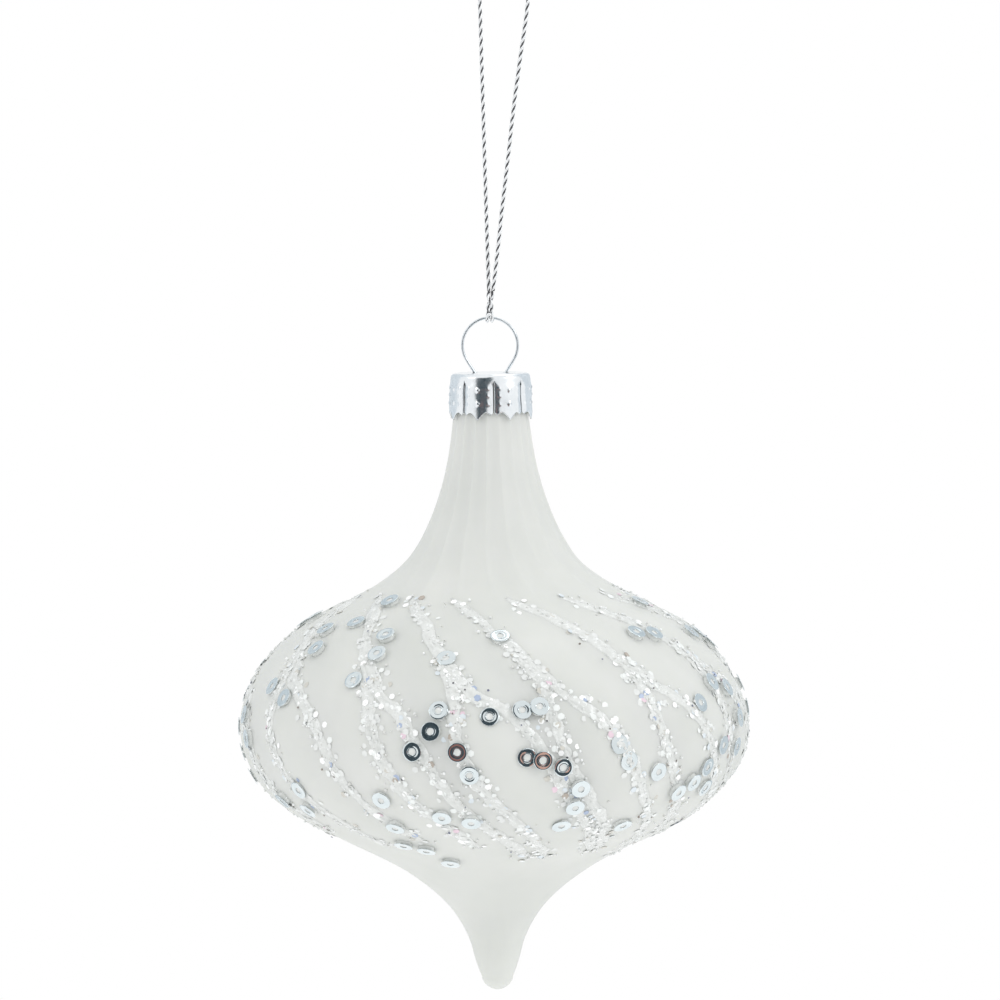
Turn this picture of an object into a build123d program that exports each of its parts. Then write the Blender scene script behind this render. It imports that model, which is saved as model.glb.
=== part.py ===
from build123d import *
import math
import os
import random

# Blown-glass hanging ornament: an onion-shaped bulb drawn out to an icicle tip, with glued-on glitter and
# sequins, a stamped crown cap, a sprung wire hanger and a loop of metallic thread.
# Millimetres, +Z up. The origin is the inside top of the thread loop, where a hook carries the ornament.
# The ornament's own axis is the Z axis, and its front faces -Y. Depths are measured down from the cap's top.

# Thread
THREAD_R = 0.45
HOOK_R = 1.0  # the hook or rod that the loop hangs over
RING_TOP_Z = -76.0  # outside top of the wire ring
SIDE_PIVOT_Z = RING_TOP_Z + 1.2  # where the twisted pair bends sideways above the hitch
LEAD_LENGTH = 3.4
LEAD_R = 0.7
LEAD_WAIST_R = 0.4
LEAD_BALL_R = 0.5
JOINT_GAP = 0.05
LEAD_TAPER = (0.3, 0.8)  # heights above the ball's neck where the lead starts and ends widening
HITCH_R = 0.85
HITCH_LENGTH = 1.8
HITCH_NECK_R = 0.62
HITCH_NECK_DROP = 0.15  # top of the hitch's neck under the ball's centre
SLEEVE_BORE_R = 0.4
KNOT_R = 1.35

# Wire hanger
WIRE_R = 0.25
RING_R = 5.1  # to the wire's centreline
FOOT_X = 2.875  # half the distance between the wire's feet at the cap
LEG_TIP_X = 4.8
LEG_DEPTH = 14.0
LEG_CURL = (0.5, 2.0)  # the last of each leg turns in by this much over this height
LEG_BEND_R = 0.8

# Crown cap
CAP_TOP_Z = RING_TOP_Z - 10.4
CAP_WALL = 0.3
CAP_TOP_R = 7.35
CAP_RIM_R = 7.65
CAP_SHOULDER = 0.9
CAP_HEIGHT = 8.5
PETALS = 8
PETAL_TURN = 4.4  # azimuth of the slit nearest the front
WIRE_HOLE_R = 0.6
SLIT_WIDTH = 0.16
SLIT_TOP = 2.1
SLIT_RELIEF_R = 0.28
PETAL_EDGE = [(2.0, 7.35), (1.45, 7.0), (0.8, 6.75), (0.1, 6.55)]  # half of a notch's edge, up to the slit

# Glass bulb: (radius, depth) down the outside, from the mouth to the last millimetres of the tip
GLASS_WALL = 0.9
MOUTH_DEPTH = 0.5
TIP_DEPTH = 114.9
TIP_ROUNDING = [(2.3, 113.9), (1.3, TIP_DEPTH)]  # handles of the curve that closes the tip
CAVITY_DEPTH = 104.0  # the tip is solid glass below this
OUTLINE = [
    (6.65, MOUTH_DEPTH), (6.95, 8.0), (8.1, 16.3), (10.1, 23.7), (12.4, 29.2), (16.0, 34.8), (20.5, 38.5),
    (27.0, 42.2), (34.2, 45.9), (39.3, 50.2), (43.7, 55.5), (46.2, 61.0), (46.8, 65.0), (46.0, 70.0),
    (43.3, 75.5), (37.2, 81.0), (27.2, 86.5), (20.0, 90.2), (14.3, 94.0), (10.0, 97.7), (7.1, 101.4),
    (4.9, 106.0), (2.9, 112.4),
]

# Glitter bands: glue lines that wind round the bulb, each forking into two branches
WIDEST_DEPTH = 64.4
TWIST_SPAN = 22.0  # depth over which a line turns by one TWIST step at each order
TWIST = 14.4
BAND_R = 0.8
BAND_LIFT = 0.1  # how far the tube's centre lies over the glass surface, in which the glue keys
BAND_TOP = 43.5
FORK_DEPTH = 52.5
BRANCH_DEPTH = 55.0  # where the right branch is clear of the left one
BAND_END = 85.5
BAND_END_SPREAD = (-4, 2)  # how much shorter or longer each line is
BAND_RUN = 4.5

# Each band: azimuth where it crosses the widest ring, half the parting of its branches there, and the
# (azimuth, depth) of each sequin on it. The bands round the back have none listed, and get them at random.
BANDS = [
    (-51, 9.0, [
        (-90, 45), (-62, 46), (-57, 49), (-65, 56), (-57, 57.5), (-78, 62), (-52, 73.5), (-54, 77.5),
        (-27, 79.5), (-30, 83.5), (-23.5, 84.5), (-19, 87.5),
    ]),
    (-22, 5.0, [(-49, 41), (-51, 44.5), (-34, 46), (-33, 49), (-36, 53.5), (-27, 74), (-13, 77)]),
    (1, 9.0, [
        (-12.5, 49.5), (-12.5, 58), (-14, 61.5), (-18, 65), (-8, 65), (-5.5, 69), (-1, 59), (-6, 78),
        (7, 66), (10.4, 66.5), (15, 68), (19.5, 72), (19, 75.5), (17, 79),
    ]),
    (22, 7.0, [(2, 46), (6.3, 58), (10.2, 57.6), (28, 64.5), (30.5, 67.5), (36, 80)]),
    (48, 7.0, [(54, 59), (61.5, 67), (39, 70), (48, 74.5), (52.5, 73), (56, 70.5), (59, 74.5)]),
    (74, 7.5, [(76, 42.5), (47, 46.5), (54, 47), (77, 48), (63, 56), (70, 57.5), (72, 63), (70, 68)]),
    (103, 7.0, []),
    (132, 8.0, []),
    (160, 6.5, []),
    (-170, 7.5, []),
    (-142, 8.0, []),
    (-114, 7.0, []),
    (-84, 8.0, []),
]
BACK_SEQUINS = 8  # on each band that lists none
SEQUIN_R = 1.75
SEQUIN_HOLE_R = 0.6
SEQUIN_THICK = 0.2
SEQUIN_LIFT = 0.85  # underside of a sequin above the glass
SEQUIN_SPACING = 3.7  # between centres; a nearer one lies on top of its neighbour
SEQUIN_DRIFT = 1.0  # how far a random sequin sits beside its line
SEQUIN_TILT = 9.0
STACK_RISE = SEQUIN_THICK + 0.12

os.makedirs("parts", exist_ok=True)
random.seed(7)


def keep(piece, name):
    """Label a finished piece and write it."""
    piece.part.label = name
    export_step(piece.part, f"parts/{name}.step")


def route_radii(points):
    """Corner radii of a route: 0.45 of the shorter run beside a corner, over the tangent of half its turn."""
    corners = [Vector(*point) for point in points]
    radii = []
    for before, corner, after in zip(corners, corners[1:], corners[2:]):
        into, out = corner - before, after - corner
        half_turn = math.radians(into.get_angle(out)) / 2
        radii.append(0.45 * min(into.length, out.length) / math.tan(half_turn))
    return radii


def add_tube(points, tube_r, radii):
    """Add to the current part a round tube along straight runs joined by arcs, and return its path's length."""
    with BuildLine() as path:
        FilletPolyline(*points, radius=radii)
    with BuildSketch(Plane(origin=path.line @ 0, z_dir=path.line % 0)) as section:
        Circle(tube_r)
    sweep(section.sketch, path=path.line)
    return sum(edge.length for edge in path.edges())


# ---------------------------------------------------------------- thread loop
# Up the taut strand, over the hook, and down the slack strand, which bows out to the right
THREAD_ROUTE = [
    (-0.12, 0.34, SIDE_PIVOT_Z + LEAD_LENGTH + 2 * JOINT_GAP),
    (-1.45, 0.0, -0.02),
    (0.44, 0.0, 0.78),
    (4.1, -0.2, -2.6),
    (7.0, -0.6, -7.2),
    (8.2, -1.0, -13.0),
    (7.5, -1.3, -20.5),
    (6.1, -1.5, -29.0),
    (4.8, -1.5, -38.0),
    (3.65, -1.3, -47.5),
    (2.35, -1.0, -57.5),
    (1.45, -0.7, -65.5),
    (0.66, -0.32, SIDE_PIVOT_Z + LEAD_LENGTH + 2 * JOINT_GAP),
]
HOOK_CORNERS = 2  # the first corners go round the hook, so their arcs have its size
thread_radii = route_radii(THREAD_ROUTE)
thread_radii[:HOOK_CORNERS] = [HOOK_R + THREAD_R] * HOOK_CORNERS
print("thread radii", [round(radius, 1) for radius in thread_radii])

with BuildPart() as hang_cord:
    thread_length = add_tube(THREAD_ROUTE, THREAD_R, thread_radii)
keep(hang_cord, "hang_cord")
print("thread length", round(thread_length, 2))
print("thread volume", round(hang_cord.part.volume, 2), "section by length",
      round(math.pi * THREAD_R**2 * thread_length, 2))

# Overhand knot that closes the loop, on the slack strand near its top, with the two cut tails
KNOT_CENTRE = (7.55, -0.8, -9.7)
TAILS = [
    [(8.9, -1.1, -9.4), (10.3, -1.5, -9.5), (11.4, -2.0, -11.0), (11.6, -2.2, -13.2)],
    [(8.4, 0.2, -9.2), (9.3, 1.3, -9.0), (10.1, 2.2, -10.1), (10.4, 2.6, -12.0)],
]
with BuildPart() as cord_knot:
    with Locations(KNOT_CENTRE):
        Sphere(KNOT_R)
    for tail in TAILS:
        add_tube(tail, THREAD_R, route_radii(tail))
keep(cord_knot, "cord_knot")

# The two strands twisted round each other, down to a ball that sits in the hitch
with BuildPart() as cord_lead:
    with BuildSketch(Plane.XZ):
        with BuildLine():
            neck_z = SIDE_PIVOT_Z + math.sqrt(LEAD_BALL_R**2 - LEAD_WAIST_R**2)
            ThreePointArc(
                (0, SIDE_PIVOT_Z - LEAD_BALL_R), (LEAD_BALL_R, SIDE_PIVOT_Z), (LEAD_WAIST_R, neck_z)
            )
            Polyline(
                (LEAD_WAIST_R, neck_z),
                (LEAD_WAIST_R, neck_z + LEAD_TAPER[0]),
                (LEAD_R, neck_z + LEAD_TAPER[1]),
                (LEAD_R, SIDE_PIVOT_Z + LEAD_LENGTH),
                (0, SIDE_PIVOT_Z + LEAD_LENGTH),
                (0, SIDE_PIVOT_Z - LEAD_BALL_R),
            )
        make_face()
    revolve(axis=Axis.Z)
keep(cord_lead, "cord_lead")

# Lark's-head hitch: a sleeve round the top of the wire ring, with a socket for the ball above it
RING_WIRE_Z = RING_TOP_Z - WIRE_R
with BuildPart() as cord_hitch:
    with BuildSketch(Plane.YZ.offset(-HITCH_LENGTH / 2)):
        with Locations((0, RING_WIRE_Z)):
            Circle(HITCH_R)
    extrude(amount=HITCH_LENGTH)
    with BuildSketch(Plane.XY.offset(RING_WIRE_Z)):
        Circle(HITCH_NECK_R)
    extrude(amount=SIDE_PIVOT_Z - HITCH_NECK_DROP - RING_WIRE_Z)
    with BuildSketch(Plane.YZ.offset(-HITCH_LENGTH)):
        with Locations((0, RING_WIRE_Z)):
            Circle(SLEEVE_BORE_R)
    extrude(amount=2 * HITCH_LENGTH, mode=Mode.SUBTRACT)
    with Locations((0, 0, SIDE_PIVOT_Z)):
        Sphere(LEAD_BALL_R + JOINT_GAP, mode=Mode.SUBTRACT)
keep(cord_hitch, "cord_hitch")

# ---------------------------------------------------------------- wire hanger
# An omega of spring wire: a ring, straight feet that close in to the cap's two holes, and spread legs
RING_CENTRE_Z = RING_WIRE_Z - RING_R
foot_height = RING_CENTRE_Z - CAP_TOP_Z
foot_reach = math.hypot(FOOT_X, foot_height)
straight = math.sqrt(foot_reach**2 - RING_R**2)
foot_slope = math.pi - math.atan2(foot_height, FOOT_X) - math.asin(RING_R / foot_reach)
leave_x = FOOT_X + straight * math.cos(foot_slope)
leave_z = CAP_TOP_Z + straight * math.sin(foot_slope)
WAIST_DROP = 1.6  # how far under the cap's top the legs turn outwards
waist_x = FOOT_X - WAIST_DROP / math.tan(foot_slope)

with BuildPart() as hanger_wire:
    with BuildLine(Plane.XZ) as wire_path:
        left_leg = FilletPolyline(
            (-LEG_TIP_X + LEG_CURL[0], CAP_TOP_Z - LEG_DEPTH),
            (-LEG_TIP_X, CAP_TOP_Z - LEG_DEPTH + LEG_CURL[1]),
            (-waist_x, CAP_TOP_Z - WAIST_DROP),
            (-leave_x, leave_z),
            radius=LEG_BEND_R,
        )
        ThreePointArc((-leave_x, leave_z), (0, RING_WIRE_Z), (leave_x, leave_z))
        right_leg = FilletPolyline(
            (leave_x, leave_z),
            (waist_x, CAP_TOP_Z - WAIST_DROP),
            (LEG_TIP_X, CAP_TOP_Z - LEG_DEPTH + LEG_CURL[1]),
            (LEG_TIP_X - LEG_CURL[0], CAP_TOP_Z - LEG_DEPTH),
            radius=LEG_BEND_R,
        )
    with BuildSketch(Plane(origin=wire_path.line @ 0, z_dir=wire_path.line % 0)):
        Circle(WIRE_R)
    sweep(path=wire_path.line)
keep(hanger_wire, "hanger_wire")

# ---------------------------------------------------------------- crown cap
# Thin stamped shell: a flat top with a rounded shoulder, and a skirt slit into eight pointed petals
SECTION = Plane(origin=(0, 0, CAP_TOP_Z), x_dir=(1, 0, 0), z_dir=(0, -1, 0))
PETAL_SPAN = 360 / PETALS
tip_half_width = CAP_RIM_R * math.sin(math.radians(PETAL_SPAN / 2))

with BuildPart() as crown_cap:
    with BuildSketch(SECTION):
        with BuildLine():
            Line((0, 0), (CAP_TOP_R - CAP_SHOULDER, 0))
            RadiusArc((CAP_TOP_R - CAP_SHOULDER, 0), (CAP_TOP_R, -CAP_SHOULDER), CAP_SHOULDER)
            Polyline(
                (CAP_TOP_R, -CAP_SHOULDER),
                (CAP_RIM_R, -CAP_HEIGHT),
                (CAP_RIM_R - CAP_WALL, -CAP_HEIGHT),
                (CAP_TOP_R - CAP_WALL, -CAP_SHOULDER),
            )
            RadiusArc(
                (CAP_TOP_R - CAP_WALL, -CAP_SHOULDER),
                (CAP_TOP_R - CAP_SHOULDER, -CAP_WALL),
                -(CAP_SHOULDER - CAP_WALL),
            )
            Polyline((CAP_TOP_R - CAP_SHOULDER, -CAP_WALL), (0, -CAP_WALL), (0, 0))
        make_face()
    revolve(axis=Axis.Z)
    for petal in range(PETALS):
        turned = Rotation(0, 0, PETAL_TURN + petal * PETAL_SPAN) * SECTION
        # the notch between two petals' points, with a small cusp each side of the slit
        with BuildSketch(turned):
            with BuildLine():
                right, cusp, upper, peak = [Vector(across, -depth) for across, depth in PETAL_EDGE]
                left_half = ThreePointArc((tip_half_width, -CAP_HEIGHT), right, cusp)
                ThreePointArc(cusp, upper, peak)
                Line(peak, (0, peak.Y))
                mirror(about=Plane.YZ)
                Polyline(
                    left_half @ 0,
                    (tip_half_width, -CAP_HEIGHT - 1),
                    (-tip_half_width, -CAP_HEIGHT - 1),
                    (-tip_half_width, -CAP_HEIGHT),
                )
            make_face()
            # the slit and the round relief at its upper end
            with Locations((0, -(SLIT_TOP + CAP_HEIGHT) / 2)):
                Rectangle(SLIT_WIDTH, CAP_HEIGHT - SLIT_TOP)
            with Locations((0, -SLIT_TOP)):
                Circle(SLIT_RELIEF_R)
        extrude(amount=CAP_RIM_R + 1, mode=Mode.SUBTRACT)
    with BuildSketch(Plane.XY.offset(CAP_TOP_Z - 1)):
        with Locations((-FOOT_X, 0), (FOOT_X, 0)):
            Circle(WIRE_HOLE_R)
    extrude(amount=2, mode=Mode.SUBTRACT)
keep(crown_cap, "crown_cap")

# ---------------------------------------------------------------- glass
outer_points = [(radius, -depth) for radius, depth in OUTLINE]
tip_handles = [(radius, -depth) for radius, depth in TIP_ROUNDING]
OUTLINE_ENDS = [(0, -1), (-0.4, -1)]  # directions of the outline at the mouth and above the tip
with BuildLine() as outline:
    Spline(*outer_points, tangents=OUTLINE_ENDS)
outline_edge = outline.edge()


def outline_at(depth):
    """Point and outward normal of the bulb's outline, as (radius, height) pairs."""
    low, high = 0.0, 1.0
    for _ in range(30):
        middle = (low + high) / 2
        if (outline_edge @ middle).Y > -depth:
            low = middle
        else:
            high = middle
    along = outline_edge % low
    return outline_edge @ low, Vector(-along.Y, along.X)


def on_glass(depth, azimuth, lift):
    """Point at a height of lift over the bulb's surface, and the outward normal there."""
    spot, normal = outline_at(depth)
    turn = math.radians(azimuth)
    radial = Vector(math.sin(turn), -math.cos(turn), 0)
    place = radial * (spot.X + lift * normal.X) + Vector(0, 0, CAP_TOP_Z + spot.Y + lift * normal.Y)
    return place, radial * normal.X + Vector(0, 0, normal.Y)


def inner_point(depth):
    """Point of the cavity's outline, one wall's thickness inside the glass surface."""
    spot, normal = outline_at(depth)
    return spot.X - GLASS_WALL * normal.X, spot.Y - GLASS_WALL * normal.Y


cavity_points = [(OUTLINE[0][0] - GLASS_WALL, -MOUTH_DEPTH)]
cavity_points += [inner_point(depth) for _, depth in OUTLINE[1:] if depth < CAVITY_DEPTH - GLASS_WALL]
cavity_points += [(0, -CAVITY_DEPTH)]

with BuildPart() as glass_body:
    with BuildSketch(SECTION):
        with BuildLine():
            Spline(*outer_points, tangents=OUTLINE_ENDS)
            Bezier(outer_points[-1], *tip_handles, (0, -TIP_DEPTH))
            Polyline((0, -TIP_DEPTH), (0, -MOUTH_DEPTH), outer_points[0])
        make_face()
    revolve(axis=Axis.Z)
    with BuildSketch(SECTION):
        with BuildLine():
            Spline(*cavity_points, tangents=[(0, -1), (-1, 0)])
            Polyline((0, -CAVITY_DEPTH), (0, -MOUTH_DEPTH), cavity_points[0])
        make_face()
    revolve(axis=Axis.Z, mode=Mode.SUBTRACT)
keep(glass_body, "glass_body")

# ---------------------------------------------------------------- glitter bands and sequins
def line_azimuth(azimuth, side, spread, depth):
    """Azimuth of a band's line: it winds round the bulb, and its branches part below the fork."""
    order = (depth - WIDEST_DEPTH) / TWIST_SPAN
    parted = min(max((depth - FORK_DEPTH) / (WIDEST_DEPTH - FORK_DEPTH), 0), 1)
    return azimuth + TWIST * (order + order**3) + side * spread * parted * (2 - parted)


def line_points(azimuth, side, spread, top, end):
    """Points of a band's line on the glass surface, evenly spaced in depth."""
    runs = round((end - top) / BAND_RUN)
    depths = [top + (end - top) * run / runs for run in range(runs + 1)]
    return [on_glass(depth, line_azimuth(azimuth, side, spread, depth), BAND_LIFT)[0] for depth in depths]


taken = []  # planes of the sequins placed so far


def sequin_plane(azimuth, depth):
    """Plane of a sequin's underside: a little tilted, or flat on the neighbour that it overlaps."""
    tilt = [random.uniform(-SEQUIN_TILT, SEQUIN_TILT) for _ in range(2)]
    centre, normal = on_glass(depth, azimuth, SEQUIN_LIFT)
    plane = Plane(origin=centre, z_dir=normal).rotated((tilt[0], tilt[1], 0))
    under = min(taken, key=lambda other: (other.origin - centre).length, default=None)
    if under and (under.origin - centre).length < SEQUIN_SPACING:
        above = (centre - under.origin).dot(under.z_dir)
        plane = Plane(origin=centre + under.z_dir * (STACK_RISE - above), z_dir=under.z_dir)
    taken.append(plane)
    return plane


def random_place(azimuth, spread):
    """Place of a sequin near a band's line, away from the others."""
    while True:
        depth = random.uniform(BAND_TOP + 1, BAND_END - 2)
        side = random.choice((-1, 1))
        drift = math.degrees(random.uniform(-SEQUIN_DRIFT, SEQUIN_DRIFT) / outline_at(depth)[0].X)
        turn = line_azimuth(azimuth, side, spread, depth) + drift
        centre = on_glass(depth, turn, SEQUIN_LIFT)[0]
        if all((centre - other.origin).length > SEQUIN_SPACING for other in taken):
            return turn, depth


for number, (azimuth, spread, places) in enumerate(BANDS, start=1):
    # the left line runs down from the band's top, and the right one leaves it below the fork
    with BuildPart() as glitter_band:
        for side, top in ((-1, BAND_TOP), (1, BRANCH_DEPTH)):
            line = line_points(azimuth, side, spread, top, BAND_END + random.uniform(*BAND_END_SPREAD))
            add_tube(line, BAND_R, route_radii(line))
    keep(glitter_band, f"glitter_band_{number:02d}")

    planes = [sequin_plane(*place) for place in places]
    if not places:
        planes = [sequin_plane(*random_place(azimuth, spread)) for _ in range(BACK_SEQUINS)]
    with BuildPart() as sequins:
        with BuildSketch(*planes):
            Circle(SEQUIN_R)
            Circle(SEQUIN_HOLE_R, mode=Mode.SUBTRACT)
        extrude(amount=SEQUIN_THICK)
    keep(sequins, f"sequins_{number:02d}")
print("sequins", len(taken))
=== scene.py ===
import math
import random

import bmesh
import bpy
import numpy as np
from mathutils import Matrix, Vector, noise
from mathutils.bvhtree import BVHTree


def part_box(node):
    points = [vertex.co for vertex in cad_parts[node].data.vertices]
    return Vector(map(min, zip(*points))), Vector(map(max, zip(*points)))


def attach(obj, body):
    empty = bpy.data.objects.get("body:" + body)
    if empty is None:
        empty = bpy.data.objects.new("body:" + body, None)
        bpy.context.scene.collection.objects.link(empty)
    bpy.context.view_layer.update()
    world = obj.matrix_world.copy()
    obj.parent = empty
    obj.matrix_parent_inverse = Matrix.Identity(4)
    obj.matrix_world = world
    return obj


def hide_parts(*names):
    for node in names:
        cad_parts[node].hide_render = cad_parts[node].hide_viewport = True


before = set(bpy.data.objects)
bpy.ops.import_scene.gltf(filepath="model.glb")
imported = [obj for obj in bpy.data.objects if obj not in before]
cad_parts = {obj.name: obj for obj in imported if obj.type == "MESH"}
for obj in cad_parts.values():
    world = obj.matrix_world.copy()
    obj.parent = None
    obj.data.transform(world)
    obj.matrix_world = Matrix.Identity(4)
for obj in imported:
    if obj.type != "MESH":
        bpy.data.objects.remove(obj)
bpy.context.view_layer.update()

# A blown-glass hanging ornament. Metres, +Z up, origin at the inside top of the thread loop, front facing -Y.
# Depths are measured down from the cap's top, azimuths from the front towards +X.
MM = 0.001
random.seed(11)

cap_low, cap_high = (Vector(corner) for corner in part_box("crown_cap"))
glass_low, glass_high = (Vector(corner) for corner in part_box("glass_body"))
lead_low, lead_high = (Vector(corner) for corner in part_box("cord_lead"))
CAP_TOP = cap_high.z
RING_TOP = Vector(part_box("hanger_wire")[1]).z
HITCH_TOP = Vector(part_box("cord_hitch")[1]).z
TIP_DEPTH = CAP_TOP - glass_low.z
MOUTH_DEPTH = CAP_TOP - glass_high.z


# ---------------------------------------------------------------- camera
def place_camera():
    """A long lens, a little above the ornament and turned by its slight lean."""
    distance, elevation, roll = 1.0, math.radians(4.0), math.radians(-0.68)
    view_height = 0.185  # what the square frame covers at the ornament
    target = Vector((0.0015, 0, -0.110))
    data = bpy.data.cameras.new("camera")
    data.lens = data.sensor_width * distance / view_height
    data.clip_end = 20
    camera = bpy.data.objects.new("camera", data)
    camera.location = target + distance * Vector((0, -math.cos(elevation), math.sin(elevation)))
    facing = (target - camera.location).to_track_quat("-Z", "Y").to_matrix().to_4x4()
    camera.rotation_euler = (facing @ Matrix.Rotation(roll, 4, "Z")).to_euler()
    bpy.context.collection.objects.link(camera)
    bpy.context.scene.camera = camera


place_camera()


# ---------------------------------------------------------------- mesh helpers
def new_piece(name, verts, faces, materials, face_slots=None, smooth=True):
    """A mesh object from points in metres, with one material per slot."""
    mesh = bpy.data.meshes.new(name)
    mesh.from_pydata([tuple(v) for v in verts], [], faces)
    mesh.validate()
    for material in materials:
        mesh.materials.append(material)
    if face_slots is not None:
        mesh.polygons.foreach_set("material_index", face_slots)
    mesh.polygons.foreach_set("use_smooth", [smooth] * len(mesh.polygons))
    piece = bpy.data.objects.new(name, mesh)
    bpy.context.collection.objects.link(piece)
    return piece


def place_piece(piece, node, body):
    """Let the piece stand for a CAD node and move with its body."""
    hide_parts(node)
    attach(piece, body)
    return piece


class Heap:
    """Points and faces of many small bodies, which become one piece."""

    def __init__(self):
        self.verts, self.faces, self.slots, self.tints = [], [], [], []

    def add(self, verts, faces, slot=0, tint=(1, 1, 1)):
        start = len(self.verts)
        self.verts.extend(verts)
        self.faces.extend([tuple(start + i for i in face) for face in faces])
        self.slots.extend([slot] * len(faces))
        self.tints.extend([tint] * len(faces))

    def piece(self, name, materials, smooth=True):
        piece = new_piece(name, self.verts, self.faces, materials, self.slots, smooth)
        tints = piece.data.color_attributes.new("tint", "FLOAT_COLOR", "CORNER")
        colours = []
        for polygon, tint in zip(piece.data.polygons, self.tints):
            colours.extend([*tint, 1.0] * polygon.loop_total)
        tints.data.foreach_set("color", colours)
        return piece


def grid_faces(rows, columns, closed=True):
    """Quads of a grid of points, row after row, wrapped round when closed."""
    last = columns if closed else columns - 1
    return [
        (r * columns + c, r * columns + (c + 1) % columns, (r + 1) * columns + (c + 1) % columns,
         (r + 1) * columns + c)
        for r in range(rows - 1)
        for c in range(last)
    ]


def end_faces(rows, columns):
    """The two faces that close the ends of a grid wrapped into a tube."""
    last = (rows - 1) * columns
    return [tuple(reversed(range(columns))), tuple(last + k for k in range(columns))]


def turn_faces_outwards(piece, joined_within=None):
    """Set all faces the right way out, after joining points that are nearer than a distance."""
    mesh = bmesh.new()
    mesh.from_mesh(piece.data)
    if joined_within:
        bmesh.ops.remove_doubles(mesh, verts=mesh.verts, dist=joined_within)
    bmesh.ops.recalc_face_normals(mesh, faces=mesh.faces)
    mesh.to_mesh(piece.data)
    mesh.free()


def smooth_step(value, low, high):
    """0 below low, 1 above high, and a smooth rise between."""
    share = min(max((value - low) / (high - low), 0.0), 1.0)
    return share * share * (3 - 2 * share)


def frame_along(path):
    """Tangents, and normals that turn no more than the path does, at each of its points."""
    count = len(path)
    tangents = [(path[min(i + 1, count - 1)] - path[max(i - 1, 0)]).normalized() for i in range(count)]
    normal = tangents[0].orthogonal().normalized()
    normals = []
    for tangent in tangents:
        normal = (normal - tangent * normal.dot(tangent)).normalized()
        normals.append(normal)
    return tangents, normals


def resample(path, step):
    """The path's points again, evenly spaced."""
    lengths = [0.0]
    for before, after in zip(path, path[1:]):
        lengths.append(lengths[-1] + (after - before).length)
    count = max(int(lengths[-1] / step), 2)
    even = np.linspace(0, lengths[-1], count + 1)
    axes = [np.interp(even, lengths, [point[k] for point in path]) for k in range(3)]
    return [Vector(point) for point in zip(*axes)], lengths[-1]


def nurbs_line(points, resolution=24):
    """Points along the NURBS spline whose control points are given."""
    data = bpy.data.curves.new("route", "CURVE")
    data.dimensions = "3D"
    data.resolution_u = resolution
    spline = data.splines.new("NURBS")
    spline.points.add(len(points) - 1)
    for spot, point in zip(spline.points, points):
        spot.co = (*point, 1)
    spline.order_u = 3
    spline.use_endpoint_u = True
    holder = bpy.data.objects.new("route", data)
    mesh = bpy.data.meshes.new_from_object(holder)
    line = [v.co.copy() for v in mesh.vertices]
    bpy.data.objects.remove(holder)
    bpy.data.meshes.remove(mesh)
    return line


def twisted_thread(heap, path, radius, parting=0.5, fullness=0.5):
    """Two plies of metallised filament twisted round each other along a path, with a dark core between them.

    The parting is how far a ply's middle is from the path, and the fullness its own radius, in thread radii.
    """
    lead = 7.6 * radius
    line, length = resample(path, lead / 16)
    tangents, normals = frame_along(line)
    count = len(line)
    around = 12
    for ply in range(2):
        ring = []
        for i, (point, tangent, normal) in enumerate(zip(line, tangents, normals)):
            along = length * i / (count - 1)
            turn = math.tau * along / lead + ply * math.pi
            side = tangent.cross(normal)
            out = normal * math.cos(turn) + side * math.sin(turn)
            across = tangent.cross(out)
            centre = point + out * radius * parting
            pinch = min(1.0, 0.35 + min(i, count - 1 - i) / 5)
            for k in range(around):
                angle = math.tau * k / around
                fibre = 1 + 0.07 * math.cos(4 * angle + math.tau * along / (lead * 0.45))
                size = radius * fullness * fibre * pinch
                flat, wide = size * math.cos(angle) * 0.96, size * math.sin(angle) * 1.06
                ring.append(centre + out * flat + across * wide)
        heap.add(ring, grid_faces(count, around) + end_faces(count, around))
    core, core_around, core_radius = [], 6, radius * 0.70
    for point, tangent, normal in zip(line, tangents, normals):
        side = tangent.cross(normal)
        for k in range(core_around):
            angle = math.tau * k / core_around
            core.append(point + (normal * math.cos(angle) + side * math.sin(angle)) * core_radius)
    heap.add(core, grid_faces(count, core_around) + end_faces(count, core_around), 1)


# ---------------------------------------------------------------- materials
def new_material(name):
    """A node material, its shader and a function that adds a node with its values set."""
    material = bpy.data.materials.new(name)
    material.use_nodes = True
    tree = material.node_tree
    shader = tree.nodes["Principled BSDF"]

    def add(kind, **values):
        node = tree.nodes.new(kind)
        for key, value in values.items():
            if hasattr(node, key):
                setattr(node, key, value)
            else:
                node.inputs[key.replace("_", " ")].default_value = value
        return node

    return material, tree, shader, add


def noise_at(tree, add, scale, detail=4.0, roughness=0.55):
    """Noise in the object's own metres."""
    place = add("ShaderNodeTexCoord")
    pattern = add("ShaderNodeTexNoise", Scale=scale, Detail=detail, Roughness=roughness)
    tree.links.new(place.outputs["Object"], pattern.inputs["Vector"])
    return pattern


def ramp(tree, add, source, stops):
    """Colours by value: stops are (position, colour)."""
    node = add("ShaderNodeValToRGB")
    band = node.color_ramp
    for position, _ in stops[2:]:
        band.elements.new(position)
    for element, (position, colour) in zip(band.elements, stops):
        element.position = position
        element.color = (*colour, 1)
    tree.links.new(source, node.inputs["Fac"])
    return node


def map_range(tree, add, source, low, high):
    node = add("ShaderNodeMapRange")
    node.inputs["To Min"].default_value = low
    node.inputs["To Max"].default_value = high
    tree.links.new(source, node.inputs["Value"])
    return node


def bump(tree, add, shader, source, strength, distance):
    node = add("ShaderNodeBump", Strength=strength, Distance=distance)
    tree.links.new(source, node.inputs["Height"])
    tree.links.new(node.outputs["Normal"], shader.inputs["Normal"])
    return node


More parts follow.
